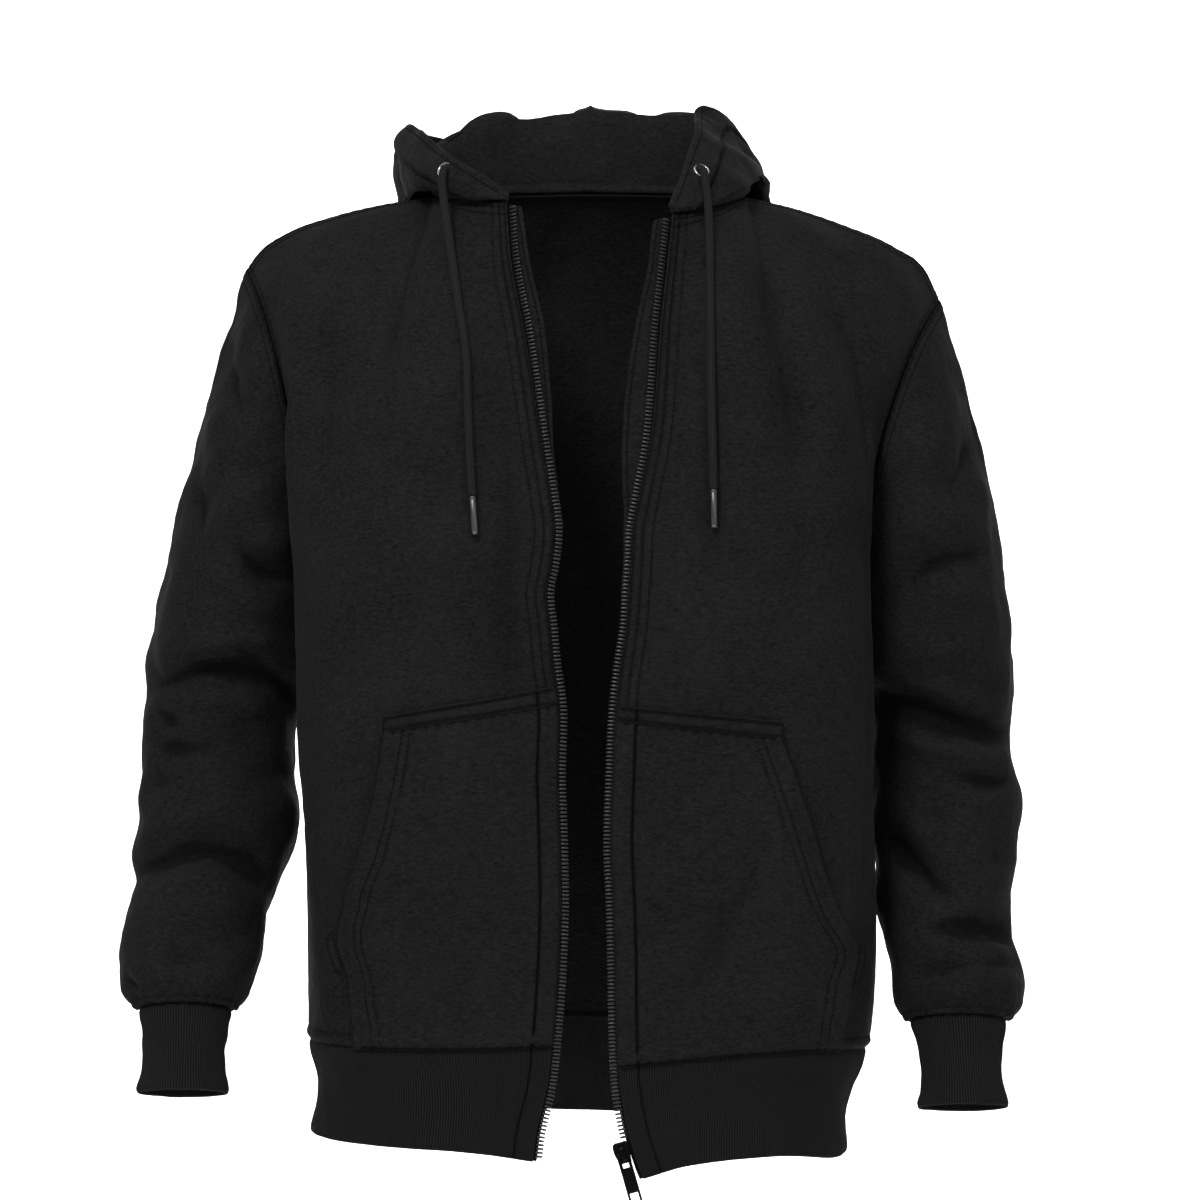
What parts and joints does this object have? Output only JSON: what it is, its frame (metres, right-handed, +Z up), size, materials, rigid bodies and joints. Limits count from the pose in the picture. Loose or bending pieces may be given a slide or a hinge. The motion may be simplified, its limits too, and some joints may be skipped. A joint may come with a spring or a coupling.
{
  "type": "zip up hoodie",
  "caption": "Hooded fleece jacket with an open front zip, kangaroo pockets, rib cuffs and hem, and a drawcord, in its hollow worn form.",
  "frame": {"origin": "midway between the two side neck points, between the shoulders, where a wearer's neck and shoulders carry the garment", "axes": "+Z up, towards the hood; -Y is the open zip front; +X is the wearer's left"},
  "size_m": [0.6756, 0.3592, 0.8209],
  "materials": {
    "fleece": "brushed cotton fleece, matte",
    "rib": "rib knit, matte",
    "tape": "woven tape, matte",
    "teeth": "moulded, slight sheen",
    "cord": "ribbed knitted cord, matte",
    "polished_metal": "polished",
    "gunmetal": "dark, satin"
  },
  "bodies": {
    "garment": {"back": "fleece", "front_left": "fleece", "front_right": "fleece", "sleeve_left": "fleece", "sleeve_right": "fleece", "cuff_left": "rib", "cuff_right": "rib", "hem_band": "rib", "hood_left": "fleece", "hood_right": "fleece", "pocket_left": "fleece", "pocket_right": "fleece", "pocket_strip_left": "fleece", "pocket_strip_right": "fleece", "pocket_bar_left": "fleece", "pocket_bar_right": "fleece", "facing_left": "fleece", "facing_right": "fleece", "zip_tape_left": "tape", "zip_tape_right": "tape", "zip_teeth_left": "teeth", "zip_teeth_right": "teeth", "zip_slider": "gunmetal", "eyelet_left": "polished_metal", "eyelet_right": "polished_metal", "drawcord_left": "cord", "drawcord_right": "cord", "cord_tip_left": "gunmetal", "cord_tip_right": "gunmetal"},
    "pull_tab": {"zip_pull_tab": "gunmetal"}
  },
  "joints": [
    {"name": "pull_tab_hinge", "type": "hinge", "parent": "garment", "child": "pull_tab", "pos_m": [0.0236, -0.1243, -0.6915], "axis": [-0.9613, 0, -0.2756], "range_deg": [0, 150]}
  ]
}
